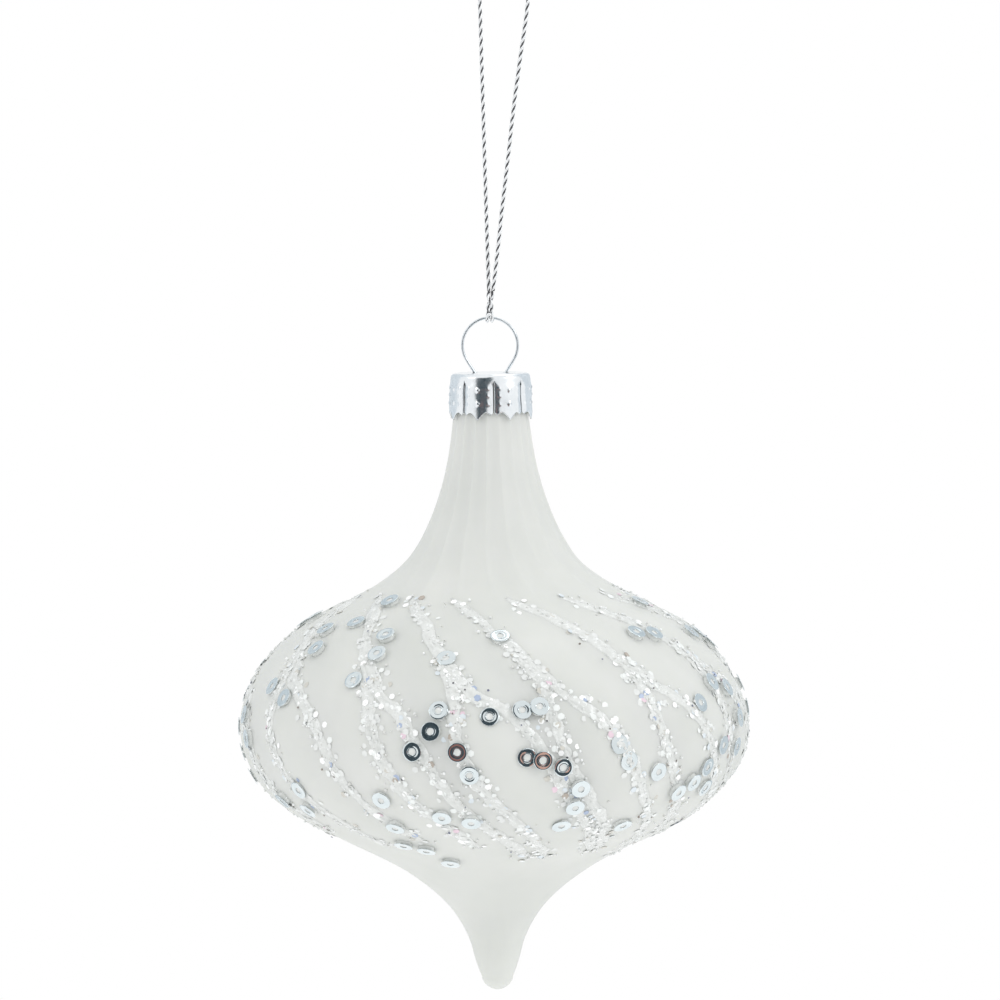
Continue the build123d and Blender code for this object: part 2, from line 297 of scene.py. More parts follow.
def frosted_glass():
    """Satin white blown glass: faint clouding, a fine frost and a soft sheen."""
    material, tree, shader, add = new_material("frosted_glass")
    clouds = noise_at(tree, add, 55, 3)
    colour = ramp(tree, add, clouds.outputs["Fac"], [
        (0.3, (0.645, 0.665, 0.635)), (0.7, (0.700, 0.715, 0.687))])
    tree.links.new(colour.outputs["Color"], shader.inputs["Base Color"])
    frost = noise_at(tree, add, 2600, 3)
    rough = map_range(tree, add, frost.outputs["Fac"], 0.42, 0.6)
    tree.links.new(rough.outputs["Result"], shader.inputs["Roughness"])
    bump(tree, add, shader, frost.outputs["Fac"], 0.12, 0.00005)
    shader.inputs["Specular IOR Level"].default_value = 0.35
    shader.inputs["Subsurface Weight"].default_value = 0.25
    shader.inputs["Subsurface Radius"].default_value = (0.006, 0.006, 0.005)
    shader.inputs["Subsurface Scale"].default_value = 0.5
    return material


def bright_metal(name, dark, light, rough_low, rough_high, scale, bump_strength, metallic=1.0):
    """Plated or stamped metal with fine scratches and a slight change of tone."""
    material, tree, shader, add = new_material(name)
    shader.inputs["Metallic"].default_value = metallic
    tone = noise_at(tree, add, scale, 4)
    colour = ramp(tree, add, tone.outputs["Fac"], [(0.3, dark), (0.7, light)])
    tree.links.new(colour.outputs["Color"], shader.inputs["Base Color"])
    rough = map_range(tree, add, tone.outputs["Fac"], rough_low, rough_high)
    tree.links.new(rough.outputs["Result"], shader.inputs["Roughness"])
    fine = noise_at(tree, add, scale * 6, 3)
    bump(tree, add, shader, fine.outputs["Fac"], bump_strength, 0.00004)
    return material


def dull_core():
    material, tree, shader, add = new_material("thread_core")
    tone = noise_at(tree, add, 4000, 2)
    colour = ramp(tree, add, tone.outputs["Fac"], [(0.3, (0.03, 0.03, 0.033)), (0.7, (0.09, 0.09, 0.095))])
    tree.links.new(colour.outputs["Color"], shader.inputs["Base Color"])
    shader.inputs["Roughness"].default_value = 0.6
    return material


def glue():
    """Clear glue over the glass: wet gloss, lumps and small trapped bubbles."""
    material, tree, shader, add = new_material("glitter_glue")
    lumps = noise_at(tree, add, 900, 4, 0.65)
    colour = ramp(tree, add, lumps.outputs["Fac"], [
        (0.34, (0.685, 0.705, 0.685)), (0.55, (0.735, 0.755, 0.74)), (0.74, (0.88, 0.90, 0.90))])
    tree.links.new(colour.outputs["Color"], shader.inputs["Base Color"])
    rough = map_range(tree, add, lumps.outputs["Fac"], 0.12, 0.38)
    tree.links.new(rough.outputs["Result"], shader.inputs["Roughness"])
    fine = noise_at(tree, add, 2400, 3)
    bump(tree, add, shader, fine.outputs["Fac"], 0.5, 0.0002)
    return material


def tinted(name, metallic, rough, scale, depth):
    """Small bodies that take their colours from the mesh, each with its own grain. The pure white glitter
    flakes are painted sparkle, not a colour of their own.
    """
    material, tree, shader, add = new_material(name)
    tint = add("ShaderNodeAttribute", attribute_name="tint")
    grain = noise_at(tree, add, scale, 2)
    shade = ramp(tree, add, grain.outputs["Fac"], [(0.3, (depth, depth, depth)), (0.6, (1, 1, 1))])
    mix = add("ShaderNodeMix", data_type="RGBA", blend_type="MULTIPLY")
    mix.inputs["Factor"].default_value = 1.0
    tree.links.new(tint.outputs["Color"], mix.inputs[6])
    tree.links.new(shade.outputs["Color"], mix.inputs[7])
    tree.links.new(mix.outputs[2], shader.inputs["Base Color"])
    shader.inputs["Metallic"].default_value = metallic
    shader.inputs["Specular IOR Level"].default_value = 0.3
    roughness = map_range(tree, add, grain.outputs["Fac"], rough * 0.7, rough * 1.5)
    tree.links.new(roughness.outputs["Result"], shader.inputs["Roughness"])
    return material


def sequin_film():
    """Silvered film: a faint blue mirror with light handling marks."""
    material, tree, shader, add = new_material("sequin_film")
    shader.inputs["Metallic"].default_value = 1.0
    tone = noise_at(tree, add, 420, 3)
    colour = ramp(tree, add, tone.outputs["Fac"], [(0.3, (0.66, 0.725, 0.745)), (0.7, (0.74, 0.80, 0.815))])
    tree.links.new(colour.outputs["Color"], shader.inputs["Base Color"])
    rough = map_range(tree, add, tone.outputs["Fac"], 0.03, 0.12)
    tree.links.new(rough.outputs["Result"], shader.inputs["Roughness"])
    fine = noise_at(tree, add, 3000, 2)
    bump(tree, add, shader, fine.outputs["Fac"], 0.05, 0.00003)
    return material


GLASS = frosted_glass()
CAP_METAL = bright_metal("cap_metal", (0.80, 0.84, 0.87), (0.88, 0.91, 0.93), 0.14, 0.28, 500, 0.08)
WIRE_METAL = bright_metal("wire_metal", (0.60, 0.65, 0.68), (0.78, 0.82, 0.85), 0.22, 0.42, 1500, 0.15)
THREAD_METAL = bright_metal(
    "thread_metal", (0.80, 0.83, 0.85), (0.97, 0.98, 0.99), 0.25, 0.45, 2600, 0.25, metallic=0.35)
THREAD_CORE = dull_core()
GLUE = glue()
FLAKE = tinted("glitter_flake", 0.0, 0.16, 900, 0.93)
BEAD = tinted("glitter_bead", 0.0, 0.06, 1500, 0.9)
SPECK = tinted("dark_speck", 0.3, 0.3, 1500, 0.6)
SEQUIN = sequin_film()

# ---------------------------------------------------------------- thread loop
THREAD_D = 0.0009
WIRE_D = 0.0005
LEAD_END_Z = lead_high.z + 0.0001
THREAD_ROUTE = [
    (-0.00012, 0.00034, LEAD_END_Z),
    (-0.00026, 0.00030, LEAD_END_Z + 0.0055),
    (-0.00135, 0.00003, -0.0055),
    (-0.00145, 0.0, -0.00002),
    (0.00044, 0.0, 0.00078),
    (0.0041, -0.0002, -0.0026),
    (0.0070, -0.0006, -0.0072),
    (0.0082, -0.0010, -0.0130),
    (0.0075, -0.0013, -0.0205),
    (0.0061, -0.0015, -0.0290),
    (0.0048, -0.0015, -0.0380),
    (0.00365, -0.0013, -0.0475),
    (0.00235, -0.0010, -0.0575),
    (0.00145, -0.0007, -0.0655),
    (0.00066, -0.00032, LEAD_END_Z),
]
thread_line = nurbs_line(THREAD_ROUTE)
thread_path, thread_length = resample(thread_line, 0.0008)
print("thread length", round(thread_length, 5))


def build_loop():
    """The thread from one side of the pair, up over the hook and back down."""
    heap = Heap()
    twisted_thread(heap, thread_line, THREAD_D / 2)
    piece = heap.piece("thread_loop", [THREAD_METAL, THREAD_CORE])
    return place_piece(piece, "hang_cord", "thread")


def build_knot():
    """Overhand knot: the thread wound in a trefoil, drawn tight, with its two cut tails."""
    centre = Vector((0.00755, -0.0008, -0.0097))
    size = 0.00042
    knot = []
    for i in range(73):
        t = math.tau * i / 72
        spot = Vector((
            math.sin(t) + 2 * math.sin(2 * t),
            math.cos(t) - 2 * math.cos(2 * t),
            -1.9 * math.sin(3 * t),
        ))
        knot.append(centre + Vector((spot.x, spot.z * 0.8, spot.y)) * size)
    tails = [
        [(0.0083, -0.0010, -0.0096), (0.0103, -0.0015, -0.0093), (0.0114, -0.0020, -0.0110),
         (0.0116, -0.0022, -0.0132)],
        [(0.0079, -0.0003, -0.0094), (0.0093, 0.0013, -0.0089), (0.0101, 0.0022, -0.0101),
         (0.0104, 0.0026, -0.0120)],
    ]
    heap = Heap()
    twisted_thread(heap, knot, THREAD_D / 2)
    for tail in tails:
        twisted_thread(heap, nurbs_line(tail), THREAD_D / 2)
    piece = heap.piece("thread_knot", [THREAD_METAL, THREAD_CORE])
    return place_piece(piece, "cord_knot", "thread")


def build_pair():
    """The two strands wound round each other between the loop and the hitch."""
    top, bottom = lead_high.z, lead_low.z
    heap = Heap()
    for strand in range(2):
        path = []
        for i in range(41):
            share = i / 40
            z = top + (bottom - top) * share
            turn = math.tau * 0.85 * share + strand * math.pi + 2.2
            reach = 0.00040 * (1 - 0.35 * smooth_step(share, 0.6, 1.0))
            path.append(Vector((reach * math.cos(turn) + 0.00018 * (1 - share), reach * math.sin(turn), z)))
        twisted_thread(heap, path, THREAD_D * 0.43)
    piece = heap.piece("thread_pair", [THREAD_METAL, THREAD_CORE])
    return place_piece(piece, "cord_lead", "lead")


def build_hitch():
    """Lark's head: two turns round the ring's wire and the bight across their front."""
    wire = RING_TOP - WIRE_D / 2
    half = [
        (0.00018, 0.00015, HITCH_TOP + 0.0002),
        (0.00036, 0.00038, wire + 0.00072),
        (0.00046, 0.00055, wire + 0.00010),
        (0.00046, 0.00040, wire - 0.00052),
        (0.00044, -0.00010, wire - 0.00062),
        (0.00042, -0.00055, wire - 0.00030),
        (0.00036, -0.00062, wire + 0.00035),
        (0.00016, -0.00060, wire + 0.00066),
    ]
    route = [(-x, y, z) for x, y, z in half] + list(reversed(half))
    heap = Heap()
    twisted_thread(heap, nurbs_line(route), 0.00040, parting=0.28, fullness=0.62)
    piece = heap.piece("thread_hitch", [THREAD_METAL, THREAD_CORE])
    return place_piece(piece, "cord_hitch", "hitch")


thread = build_loop()
knot = build_knot()
pair = build_pair()
hitch = build_hitch()

# ---------------------------------------------------------------- wire hanger
wire_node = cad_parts["hanger_wire"]
wire_node.data.materials.clear()
wire_node.data.materials.append(WIRE_METAL)

# ---------------------------------------------------------------- crown cap
PETALS = 8
PETAL_TURN = 4.4  # azimuth of the slit nearest the front
CAP_SHOULDER = 0.9 * MM
CAP_TOP_R = 7.35 * MM
CAP_RIM_R = (cap_high.x - cap_low.x) / 2
CAP_HEIGHT = cap_high.z - cap_low.z
SLIT_TOP = 1.9 * MM
CAP_SHEET = 0.22 * MM
WIRE_HOLE_R = 0.6 * MM
WIRE_HOLE_X = 2.875 * MM


def petal_edge(across):
    """Depth of a petal's lower edge, across from -1 to 1: a middle point, and a cusp on each side."""
    share = abs(across)
    if share < 0.5:
        return (7.05 + 1.45 * (1 - share / 0.5) ** 1.5) * MM
    if share < 0.8:
        return (7.05 + 0.42 * ((share - 0.5) / 0.3) ** 1.5) * MM
    return (7.47 - 0.35 * ((share - 0.8) / 0.2) ** 0.7) * MM


def emboss(across, depth):
    """Height of the dots pressed outwards: three each side and two larger ones in the middle."""
    half_width = 2.95 * MM
    height = 0.0
    for spot_x, spot_depth, radius, rise in (
        (-0.64, 2.6, 0.27, 0.13), (-0.64, 4.0, 0.27, 0.13), (-0.64, 5.5, 0.27, 0.13),
        (0.64, 2.6, 0.27, 0.13), (0.64, 4.0, 0.27, 0.13), (0.64, 5.5, 0.27, 0.13),
        (0.0, 2.9, 0.42, 0.20), (0.0, 5.4, 0.42, 0.20),
    ):
        gap = math.hypot((across - spot_x) * half_width, depth - spot_depth * MM) / (radius * MM)
        if gap < 1.6:
            height += rise * MM * math.exp(-1.8 * gap**4)
    return height


def build_cap():
    """Thin stamped cap: flat top, rounded shoulder and eight pillowed petals with embossed dots."""
    columns, rows = 40, 44
    top_rows, shoulder_rows = 8, 14  # the last row of each
    verts, faces = [], []
    for petal in range(PETALS):  # each is bent a little differently
        middle = PETAL_TURN + (petal + 0.5) * 360 / PETALS
        start = len(verts)
        for row in range(rows + 1):
            on_skirt = row > shoulder_rows
            for column in range(columns + 1):
                across = -1 + 2 * column / columns
                if row <= top_rows:  # flat top, from the middle out
                    reach, depth = (CAP_TOP_R - CAP_SHOULDER) * row / top_rows, 0.0
                    if row == top_rows:
                        depth = 0.01 * MM
                elif not on_skirt:  # rounded shoulder
                    angle = math.pi / 2 * (row - top_rows) / (shoulder_rows - top_rows)
                    reach = CAP_TOP_R - CAP_SHOULDER + CAP_SHOULDER * math.sin(angle)
                    depth = CAP_SHOULDER * (1 - math.cos(angle))
                else:
                    share = (row - shoulder_rows) / (rows - shoulder_rows)
                    depth = CAP_SHOULDER + (petal_edge(across) - CAP_SHOULDER) * share
                    reach = CAP_TOP_R + (CAP_RIM_R - CAP_TOP_R) * depth / CAP_HEIGHT
                slit = smooth_step(depth, 1.0 * MM, 2.6 * MM)
                pillow = 0.20 * MM * (1 - across**2) - 0.20 * MM * abs(across) ** 5
                pillow += 0.11 * MM * noise.noise(Vector((across * 0.9, depth / (2.8 * MM), petal * 3.7)))
                reach += slit * pillow
                trim = 0.0  # the slit between two petals, with the round hole at its top
                if on_skirt:
                    reach += emboss(across, depth)
                    gap = 0.075 * MM * smooth_step(depth, SLIT_TOP * 0.9, SLIT_TOP * 1.35)
                    drop = 0.17 * MM * math.exp(-(((depth - SLIT_TOP) / (0.36 * MM)) ** 2))
                    trim = math.degrees((gap + drop) / reach) * abs(across) ** 8
                azimuth = math.radians(middle + across * (180 / PETALS - trim))
                verts.append((reach * math.sin(azimuth), -reach * math.cos(azimuth), CAP_TOP - depth))
        faces += [tuple(start + i for i in face) for face in grid_faces(rows + 1, columns + 1, closed=False)]
    piece = new_piece("cap_shell", verts, faces, [CAP_METAL])
    turn_faces_outwards(piece, joined_within=0.004 * MM)
    thickness = piece.modifiers.new("thickness", "SOLIDIFY")
    thickness.thickness = CAP_SHEET
    thickness.offset = -1
    holes = []
    for side in (-1, 1):
        bpy.ops.mesh.primitive_cylinder_add(
            vertices=32, radius=WIRE_HOLE_R, depth=3 * MM, location=(side * WIRE_HOLE_X, 0, CAP_TOP))
        hole = bpy.context.object
        cut = piece.modifiers.new("hole", "BOOLEAN")
        cut.operation = "DIFFERENCE"
        cut.solver = "EXACT"
        cut.object = hole
        holes.append(hole)
    apply_modifiers(piece)
    for hole in holes:
        bpy.data.objects.remove(hole)
    return place_piece(piece, "crown_cap", "cap")


def apply_modifiers(piece):
    """Leave the piece with the mesh that its modifiers make."""
    seen = piece.evaluated_get(bpy.context.evaluated_depsgraph_get())
    mesh = bpy.data.meshes.new_from_object(seen)
    piece.modifiers.clear()
    piece.data = mesh


build_cap()


# ---------------------------------------------------------------- glass
WALL = 0.9 * MM
NECK_END = 30 * MM
DOME_START = 112.4 * MM  # where the tip begins to close
HOLLOW_END = 104 * MM
MOUTH_ROUNDING = 0.05 * MM  # the outline is read from this far below the mouth


def cad_tree(node):
    """The CAD node's surface, for casting rays."""
    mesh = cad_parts[node].data
    points = [v.co.copy() for v in mesh.vertices]
    return BVHTree.FromPolygons(points, [tuple(p.vertices) for p in mesh.polygons])


def read_outline(step=0.3 * MM):
    """Depths and radii of the glass surface, read off the CAD part from outside."""
    tree = cad_tree("glass_body")
    depths = np.arange(MOUTH_DEPTH + MOUTH_ROUNDING, TIP_DEPTH - 0.02 * MM, step)
    radii = []
    for depth in depths:
        hits = []
        for turn in (0.1, 1.1, 2.1, 3.2):
            ray = Vector((math.cos(turn), math.sin(turn), 0))
            spot = tree.ray_cast(Vector((0, 0, CAP_TOP - depth)) + ray * 0.2, -ray)[0]
            if spot:
                hits.append(math.hypot(spot.x, spot.y))
        radii.append(max(hits))
    smoothed = np.convolve(np.pad(radii, 2, mode="edge"), np.ones(5) / 5, mode="valid")
    smoothed[-6:], smoothed[:3] = radii[-6:], radii[:3]
    return depths, smoothed


OUTLINE_DEPTHS, OUTLINE_RADII = read_outline()
WIDEST_DEPTH = 64.4 * MM
TWIST_SPAN = 22.0 * MM
TWIST = 14.4
FLUTES = 20
LOBES = 13


def outline_radius(depth):
    return float(np.interp(depth, OUTLINE_DEPTHS, OUTLINE_RADII))


def swirl(depth):
    """Degrees that the flutes have turned by at a depth: straight on the neck, wound on the bulb."""
    straight_above = WIDEST_DEPTH - TWIST_SPAN
    order = (max(depth, straight_above) - WIDEST_DEPTH) / TWIST_SPAN
    turned = TWIST * (order + order**3)
    if depth < straight_above:
        fade = 5 * MM
        slope = 4 * TWIST / TWIST_SPAN
        turned -= slope * fade * (1 - math.exp((depth - straight_above) / fade))
    return turned


def flute_height(depth, azimuth):
    """Ribs of the mould-blown neck, which open into broad lobes on the bulb."""
    turn = azimuth - swirl(depth)
    mm = depth / MM
    neck = 0.20 * smooth_step(mm, 2, 12) * (1 - smooth_step(mm, 46, 60))
    bulb = 0.60 * smooth_step(mm, 30, 46) * (1 - smooth_step(mm, 78, 96))
    rib = 1 - 2 * abs(math.sin(math.radians(turn) * FLUTES / 2)) ** 0.8
    lobe = math.cos(math.radians(turn) * LOBES)
    uneven = 0.75 + 0.25 * math.sin(math.radians(turn) * 3 + 1)
    return (neck * rib + bulb * lobe) * uneven * MM


def glass_radius(depth, azimuth):
    return outline_radius(depth) + flute_height(depth, azimuth)


def outward(depth):
    """Slope of the outline as an outward normal: its radial and vertical parts."""
    step = 0.8 * MM
    rise = outline_radius(depth + step) - outline_radius(depth - step)
    length = math.hypot(rise, 2 * step)
    return 2 * step / length, rise / length


def on_glass(depth, azimuth, lift=0.0):
    """Point over the glass, and the outward normal there."""
    turn = math.radians(azimuth)
    radial, vertical = outward(depth)
    along = Vector((math.sin(turn), -math.cos(turn), 0))
    normal = along * radial + Vector((0, 0, vertical))
    spot = along * glass_radius(depth, azimuth) + Vector((0, 0, CAP_TOP - depth))
    return spot + normal * lift, normal


def build_glass():
    """The blown body: fluted outside, smooth inside, open at the mouth."""
    columns = 260
    neck = list(np.linspace(MOUTH_DEPTH, NECK_END, 50))
    outer = neck + list(np.linspace(NECK_END, DOME_START, 190))[1:]
    verts = []
    for depth in outer:
        for column in range(columns):
            azimuth = 360 * column / columns
            radius = glass_radius(max(depth, MOUTH_DEPTH + MOUTH_ROUNDING), azimuth)
            turn = math.radians(azimuth)
            verts.append((radius * math.sin(turn), -radius * math.cos(turn), CAP_TOP - depth))
    # the tip closes in a small dome
    last = outline_radius(DOME_START)
    dome = [(math.cos(a), math.sin(a)) for a in np.linspace(0, math.pi / 2, 11)[1:-1]]
    for shrink, drop in dome:
        height = CAP_TOP - DOME_START - (TIP_DEPTH - DOME_START) * drop
        radius = last * (0.25 * shrink**2 + 0.75 * shrink)
        for column in range(columns):
            turn = math.tau * column / columns
            verts.append((radius * math.sin(turn), -radius * math.cos(turn), height))
    rows = len(outer) + len(dome)
    faces = grid_faces(rows, columns)
    ring = (rows - 1) * columns
    verts.append((0, 0, CAP_TOP - TIP_DEPTH))
    pole = len(verts) - 1
    faces += [(ring + c, ring + (c + 1) % columns, pole) for c in range(columns)]
    # the inside, from the mouth down to the end of the hollow
    inner_start = len(verts)
    inner = list(np.linspace(MOUTH_DEPTH, HOLLOW_END - 1 * MM, 80))
    for depth in inner:
        radial, vertical = outward(max(depth, 2 * MM))
        outside = outline_radius(max(depth - WALL * vertical, MOUTH_DEPTH + MOUTH_ROUNDING))
        radius = max(outside - WALL / max(radial, 0.45), 0.4 * MM)
        for column in range(columns):
            turn = math.tau * column / columns
            verts.append((radius * math.sin(turn), -radius * math.cos(turn), CAP_TOP - depth))
    faces += [tuple(inner_start + i for i in reversed(face)) for face in grid_faces(len(inner), columns)]
    ring = inner_start + (len(inner) - 1) * columns
    verts.append((0, 0, CAP_TOP - HOLLOW_END))
    pole = len(verts) - 1
    faces += [(ring + (c + 1) % columns, ring + c, pole) for c in range(columns)]
    for here in range(columns):  # the rim of the mouth
        there = (here + 1) % columns
        faces.append((here, inner_start + here, inner_start + there, there))
    piece = new_piece("glass_shell", verts, faces, [GLASS])
    turn_faces_outwards(piece)
    return place_piece(piece, "glass_body", "ornament")


build_glass()


# ---------------------------------------------------------------- loose parts of CAD nodes
def islands(node):
    """The separate bodies of a CAD node, the highest first, each as an array of its points."""
    mesh = bmesh.new()
    mesh.from_mesh(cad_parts[node].data)
    bmesh.ops.remove_doubles(mesh, verts=mesh.verts, dist=0.01 * MM)
    bodies, seen = [], set()
    for start in mesh.verts:
        if start in seen:
            continue
        seen.add(start)
        body, waiting = [], [start]
        while waiting:
            vert = waiting.pop()
            body.append(vert.co[:])
            for edge in vert.link_edges:
                other = edge.other_vert(vert)
                if other not in seen:
                    seen.add(other)
                    waiting.append(other)
        bodies.append(np.array(body))
    mesh.free()
    return sorted(bodies, key=lambda points: -points[:, 2].max())


def line_of(points):
    """A glitter line's top and bottom depths, and a function that gives its azimuth at a depth."""
    depths = CAP_TOP - points[:, 2]
    azimuths = np.degrees(np.arctan2(points[:, 0], -points[:, 1]))
    middle = azimuths[np.argmin(np.abs(depths - depths.mean()))]
    azimuths = (azimuths - middle + 180) % 360 - 180 + middle
    curve = np.polyfit(depths / MM, azimuths, 4)
    return depths.min(), depths.max(), lambda depth: float(np.polyval(curve, depth / MM))


def swept_start(top, azimuth_at, rise=2.8 * MM, lean=5.0 / MM):
    """A trunk's line with a start that runs up and to the left, almost level, over the shoulder."""
    def azimuth(depth):
        return azimuth_at(max(depth, top)) - lean * max(top - depth, 0)

    return top - rise, azimuth


def forked(trunk, branch, start=48 * MM, end=60 * MM):
    """A branch's line that leaves its trunk little by little."""
    def azimuth(depth):
        share = smooth_step(depth, start, end)
        return trunk(depth) * (1 - share) + branch(max(depth, end - 5 * MM)) * share

    return start + 1 * MM, azimuth


# ---------------------------------------------------------------- glitter
# Flake colours and their shares. The pure white share is painted sparkle: flat white flakes that stand in for
# glints of light off the glitter. The other entries are the flakes' own tints.
FLAKE_TINTS_AND_PAINTED_SPARKLE = [
    ((0.79, 0.81, 0.80), 42), ((0.87, 0.90, 0.89), 26), ((0.99, 1.00, 1.00), 18), ((0.73, 0.79, 0.83), 8),
    ((0.64, 0.63, 0.58), 6), ((0.42, 0.50, 0.66), 2), ((0.80, 0.64, 0.72), 1), ((0.48, 0.43, 0.38), 1),
]


# A flake colour drawn by its share; a pure white draw is painted sparkle.
def pick_tint_or_painted_sparkle():
    tints, shares = zip(*FLAKE_TINTS_AND_PAINTED_SPARKLE)
    return random.choices(tints, shares)[0]


def hexagon(centre, normal, radius, thickness):
    """A hexagonal flake as points and faces."""
    side = normal.orthogonal().normalized()
    side.rotate(Matrix.Rotation(random.uniform(0, math.tau), 3, normal))
    other = normal.cross(side)
    verts = []
    for lift in (-0.5, 0.5):
        for k in range(6):
            angle = math.tau * k / 6
            verts.append(centre + (side * math.cos(angle) + other * math.sin(angle)) * radius
                         + normal * lift * thickness)
    faces = [tuple(reversed(range(6))), tuple(range(6, 12))]
    faces += [(k, (k + 1) % 6, 6 + (k + 1) % 6, 6 + k) for k in range(6)]
    return verts, faces


def ball_template():
    mesh = bmesh.new()
    bmesh.ops.create_icosphere(mesh, subdivisions=2, radius=1)
    verts = [v.co.copy() for v in mesh.verts]
    faces = [tuple(v.index for v in f.verts) for f in mesh.faces]
    mesh.free()
    return verts, faces


BALL_VERTS, BALL_FACES = ball_template()


def leaning(normal, most):
    """The normal tipped by up to most degrees."""
    axis = normal.orthogonal().normalized()
    axis.rotate(Matrix.Rotation(random.uniform(0, math.tau), 3, normal))
    tipped = normal.copy()
    tipped.rotate(Matrix.Rotation(math.radians(random.uniform(0, most)), 3, axis))
    return tipped


def crust_point(azimuth_at, depth, across, lift):
    """Point at a distance across a glitter line, and over the glass."""
    azimuth = azimuth_at(depth)
    slope = azimuth_at(depth + 0.5 * MM) - azimuth_at(depth - 0.5 * MM)  # degrees per millimetre of depth
    radius = outline_radius(depth)
    radial = max(outward(depth)[0], 0.2)
    run = math.radians(slope) * radius / MM  # sideways travel per travel down the outline
    fall = 1 / radial
    length = math.hypot(run, fall)
    sideways, downwards = across * fall / length, -across * run / length * radial
    return on_glass(depth + downwards, azimuth + math.degrees(sideways / radius), lift)


def add_crust(heap, top, bottom, azimuth_at, seed):
    """The glue itself: a low, lumpy ridge with ragged edges, closed underneath."""
    runs = int((bottom - top) / (0.32 * MM))
    steps = 10
    half_width, raggedness = 1.25 * MM, 0.75 * MM
    edge_lift = -0.18 * MM
    under_lift = -0.3 * MM
    verts = []
    for i in range(runs + 1):
        depth = top + (bottom - top) * i / runs
        taper = min(1.0, 0.25 + min(i, runs - i) / 7)
        ragged = [noise.noise(Vector((i * 0.16, 7.7 * side, seed))) for side in (1, 2)]
        left = -(half_width + raggedness * ragged[0]) * taper
        right = (half_width + raggedness * ragged[1]) * taper
        for k in range(steps + 1):
            share = k / steps
            across = left + (right - left) * share
            arch = math.sqrt(max(1 - (2 * share - 1) ** 2, 0))
            lump = noise.noise(Vector((i * 0.30, k * 0.55, seed))) + 0.6 * noise.noise(
                Vector((i * 0.75, k * 1.3, seed + 5)))
            lift = (0.20 + 0.28 * lump) * arch * MM * taper
            if k in (0, steps):
                lift = edge_lift
            verts.append(crust_point(azimuth_at, depth, across, max(lift, edge_lift))[0])
        verts.append(crust_point(azimuth_at, depth, right * 0.8, under_lift)[0])
        verts.append(crust_point(azimuth_at, depth, left * 0.8, under_lift)[0])
    columns = steps + 3
    heap.add(verts, grid_faces(runs + 1, columns) + end_faces(runs + 1, columns))


SEQUIN_SINK = 0.3 * MM  # the glue lets the sequins in a little
FLAKE_SLOT, BEAD_SLOT, SPECK_SLOT = 1, 2, 3  # the glue is slot 0
FLAKES_PER_MM, BEADS_PER_MM, SPECKS_PER_MM = 1.8, 1.9, 0.1
LINE_SLANT = 1.25  # a line's length over its fall


def sequin_places(number):
    """Centre and outward normal of each sequin of a group, laid nearly flat on the glue."""
    places = []
    for points in islands(f"sequins_{number:02d}"):
        centre = Vector(points.mean(axis=0))
        _, _, axes = np.linalg.svd(points - points.mean(axis=0))
        normal = Vector(axes[2])
        if normal.dot(Vector((centre.x, centre.y, 0))) < 0:
            normal.negate()
        flat = on_glass(CAP_TOP - centre.z, math.degrees(math.atan2(centre.x, -centre.y)))[1]
        normal = (normal * 0.15 + flat * 0.85).normalized()
        places.append((centre - normal * SEQUIN_SINK, normal))
    return places


def add_pad(heap, centre, normal, seed):
    """The lump of glue that holds a sequin, from its underside down into the glass."""
    side = normal.orthogonal().normalized()
    other = normal.cross(side)
    around = 20
    verts = []
    for radius, height in ((0.8, -0.06), (1.10, -0.08), (1.25, -0.22), (1.40, -0.5), (1.55, -1.2)):
        for k in range(around):
            angle = math.tau * k / around
            reach = radius + 0.35 * noise.noise(Vector((math.cos(angle), math.sin(angle), seed))) * radius / 2
            verts.append(centre + (side * math.cos(angle) + other * math.sin(angle)) * reach * MM
                         + normal * height * MM)
    faces = grid_faces(5, around) + end_faces(5, around)
    heap.add(verts, [tuple(reversed(face)) for face in faces])


